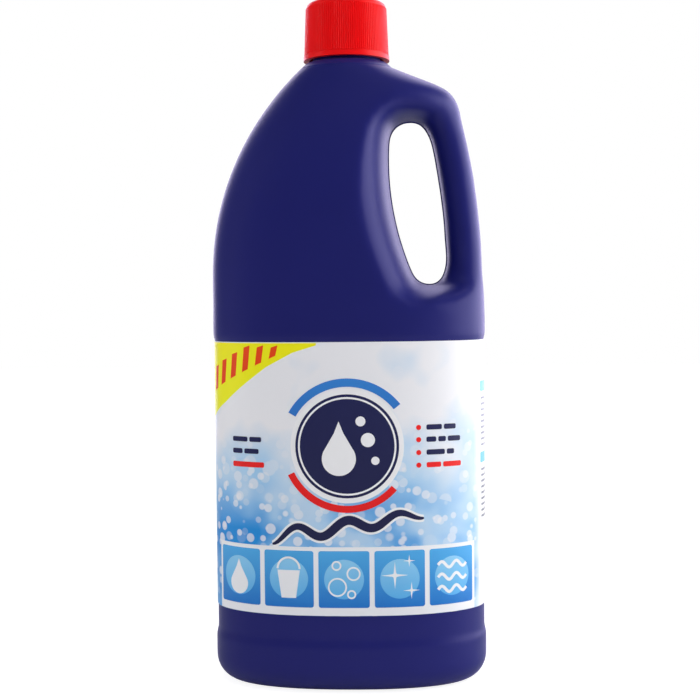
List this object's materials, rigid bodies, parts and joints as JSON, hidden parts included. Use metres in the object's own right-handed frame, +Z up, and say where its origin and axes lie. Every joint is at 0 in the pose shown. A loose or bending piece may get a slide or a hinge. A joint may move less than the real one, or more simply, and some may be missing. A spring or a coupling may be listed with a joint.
{
  "type": "bleach bottle",
  "caption": "Tall blown plastic bottle with an oval body, a hollow side grip, a wrap-round label panel and a ribbed screw cap.",
  "frame": {"origin": "middle of the foot's resting plane, on the axis of the neck", "axes": "+Z up along the neck, +X towards the grip, -Y the front face"},
  "size_m": [0.1369, 0.0752, 0.3386],
  "materials": {
    "bottle": "satin blue polyethylene",
    "label": "printed film, soft gloss",
    "cap": "moulded red polypropylene, soft gloss",
    "liner": "white foamed polyethylene"
  },
  "bodies": {
    "bottle": {"bottle_body": "bottle", "wrap_label": "label"},
    "seal": {"cap_liner": "liner"},
    "cap": {"screw_cap": "cap"}
  },
  "joints": [
    {"name": "cap_rise", "type": "slide", "parent": "bottle", "child": "seal", "axis": [0, 0, 1], "range_m": [0, 0.036]},
    {"name": "cap_turn", "type": "hinge", "parent": "seal", "child": "cap", "pos_m": [0, 0, 0.32], "axis": [0, 0, 1], "range_deg": [0, 1080]}
  ],
  "couplings": [
    {"joint": "cap_rise", "follows": "cap_turn", "m_per_rad": 0.0019099}
  ]
}
